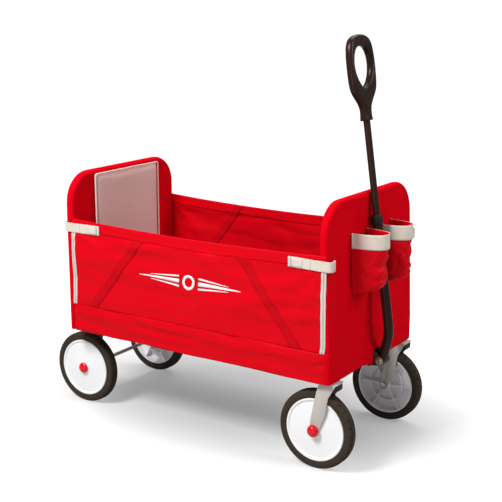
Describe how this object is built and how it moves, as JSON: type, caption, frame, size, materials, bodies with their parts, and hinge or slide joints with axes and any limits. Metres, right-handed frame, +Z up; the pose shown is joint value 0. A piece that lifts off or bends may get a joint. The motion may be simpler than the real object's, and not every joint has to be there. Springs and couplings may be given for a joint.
{
  "type": "kids pull wagon",
  "caption": "Folding fabric tub on a steel frame with a padded floor and backrests, swivel casters, rear wheels, cup pockets, drop side and a telescoping pull handle.",
  "frame": {"origin": "on the ground, under the middle of the whole wagon's length and width", "axes": "+X towards the pull handle, +Y to the wagon's left side, +Z up"},
  "size_m": [0.984, 0.453, 1.0313],
  "materials": {
    "red_fabric": "woven coated polyester, satin",
    "beige_webbing": "woven webbing and tape",
    "pad_fabric": "plain woven, matte",
    "floor_pad_fabric": "plain woven, matte",
    "frame_paint": "black powder coat",
    "fork_paint": "light grey powder coat",
    "bright_steel": "zinc plated",
    "handle_paint": "dark brown-black powder coat",
    "black_plastic": "moulded, fine grain",
    "wheel_plastic": "moulded white",
    "tyre_rubber": "matte",
    "cap_plastic": "moulded red",
    "floor_board": "hollow board"
  },
  "bodies": {
    "front_end": {"front_hoop": "frame_paint", "front_base_frame": "frame_paint", "front_cover": "red_fabric", "front_backrest": "pad_fabric", "handle_bracket": "handle_paint", "handle_pivot_bolt": "bright_steel", "caster_sockets": "black_plastic", "cup_pocket_left": "red_fabric", "cup_pocket_right": "red_fabric", "cup_pocket_bands": "beige_webbing", "left_side_skirt": "red_fabric", "right_side_skirt": "red_fabric", "left_side_panel": "red_fabric", "left_side_bands": "red_fabric", "left_corner_straps": "beige_webbing"},
    "side_flap": {"right_side_flap": "red_fabric", "right_flap_bands": "red_fabric", "right_flap_zips": "beige_webbing", "right_corner_straps": "beige_webbing"},
    "floor_front": {"floor_front_rails": "frame_paint", "floor_front_cross_tubes": "frame_paint", "floor_front_board": "floor_board", "floor_front_pad": "floor_pad_fabric", "floor_front_hinge_plates": "frame_paint", "floor_front_pins": "bright_steel"},
    "floor_rear": {"floor_rear_rails": "frame_paint", "floor_rear_cross_tubes": "frame_paint", "floor_rear_board": "floor_board", "floor_rear_pad": "floor_pad_fabric", "floor_rear_hinge_plates": "frame_paint", "floor_rear_pins": "bright_steel", "fold_pull_strap": "beige_webbing"},
    "rear_end": {"rear_hoop": "frame_paint", "rear_base_frame": "frame_paint", "rear_cover": "red_fabric", "rear_backrest": "pad_fabric", "rear_axle_legs": "fork_paint", "rear_axle": "bright_steel", "rear_hub_caps": "cap_plastic"},
    "handle": {"handle_lower_tube": "handle_paint", "handle_collar": "black_plastic"},
    "handle_upper": {"handle_upper_tube": "handle_paint", "handle_glide": "black_plastic", "handle_grip": "black_plastic"},
    "left_caster": {"left_caster_fork": "fork_paint", "left_caster_crown": "black_plastic", "left_caster_axle": "bright_steel", "left_caster_cap": "cap_plastic"},
    "right_caster": {"right_caster_fork": "fork_paint", "right_caster_crown": "black_plastic", "right_caster_axle": "bright_steel", "right_caster_cap": "cap_plastic"},
    "front_left_wheel": {"front_left_rim": "wheel_plastic", "front_left_tyre": "tyre_rubber"},
    "front_right_wheel": {"front_right_rim": "wheel_plastic", "front_right_tyre": "tyre_rubber"},
    "rear_left_wheel": {"rear_left_rim": "wheel_plastic", "rear_left_tyre": "tyre_rubber"},
    "rear_right_wheel": {"rear_right_rim": "wheel_plastic", "rear_right_tyre": "tyre_rubber"}
  },
  "joints": [
    {"name": "fold_front", "type": "hinge", "parent": "front_end", "child": "floor_front", "pos_m": [0.3675, 0, 0.288], "axis": [0, 1, 0], "range_deg": [0, 84], "deforming": ["left_side_skirt", "right_side_skirt", "left_side_panel", "left_side_bands", "left_corner_straps", "right_side_flap", "right_flap_bands", "right_flap_zips", "right_corner_straps"]},
    {"name": "fold_centre", "type": "hinge", "parent": "floor_front", "child": "floor_rear", "pos_m": [0.0155, 0, 0.248], "axis": [0, 1, 0], "range_deg": [-168, 0]},
    {"name": "fold_rear", "type": "hinge", "parent": "floor_rear", "child": "rear_end", "pos_m": [-0.3365, 0, 0.288], "axis": [0, 1, 0], "range_deg": [0, 84]},
    {"name": "side_flap_drop", "type": "hinge", "parent": "front_end", "child": "side_flap", "pos_m": [0.0155, -0.2235, 0.303], "axis": [1, 0, 0], "range_deg": [0, 170]},
    {"name": "handle_tilt", "type": "hinge", "parent": "front_end", "child": "handle", "pos_m": [0.4505, 0, 0.236], "axis": [0, 1, 0], "range_deg": [0, 105]},
    {"name": "handle_extend", "type": "slide", "parent": "handle", "child": "handle_upper", "axis": [-0.1461, 0, 0.9893], "range_m": [-0.16, 0]},
    {"name": "left_caster_swivel", "type": "hinge", "parent": "front_end", "child": "left_caster", "pos_m": [0.4115, 0.187, 0.226], "axis": [0, 0, 1], "continuous": true},
    {"name": "right_caster_swivel", "type": "hinge", "parent": "front_end", "child": "right_caster", "pos_m": [0.4115, -0.187, 0.226], "axis": [0, 0, 1], "continuous": true},
    {"name": "front_left_wheel_spin", "type": "hinge", "parent": "left_caster", "child": "front_left_wheel", "pos_m": [0.3745, 0.187, 0.1], "axis": [0, 1, 0], "continuous": true},
    {"name": "rear_left_wheel_spin", "type": "hinge", "parent": "rear_end", "child": "rear_left_wheel", "pos_m": [-0.3915, 0.156, 0.1], "axis": [0, 1, 0], "continuous": true},
    {"name": "front_right_wheel_spin", "type": "hinge", "parent": "right_caster", "child": "front_right_wheel", "pos_m": [0.3745, -0.187, 0.1], "axis": [0, 1, 0], "continuous": true},
    {"name": "rear_right_wheel_spin", "type": "hinge", "parent": "rear_end", "child": "rear_right_wheel", "pos_m": [-0.3915, -0.156, 0.1], "axis": [0, 1, 0], "continuous": true}
  ],
  "couplings": [
    {"joint": "fold_centre", "follows": "fold_front", "ratio": -2},
    {"joint": "fold_rear", "follows": "fold_front", "ratio": 1}
  ]
}
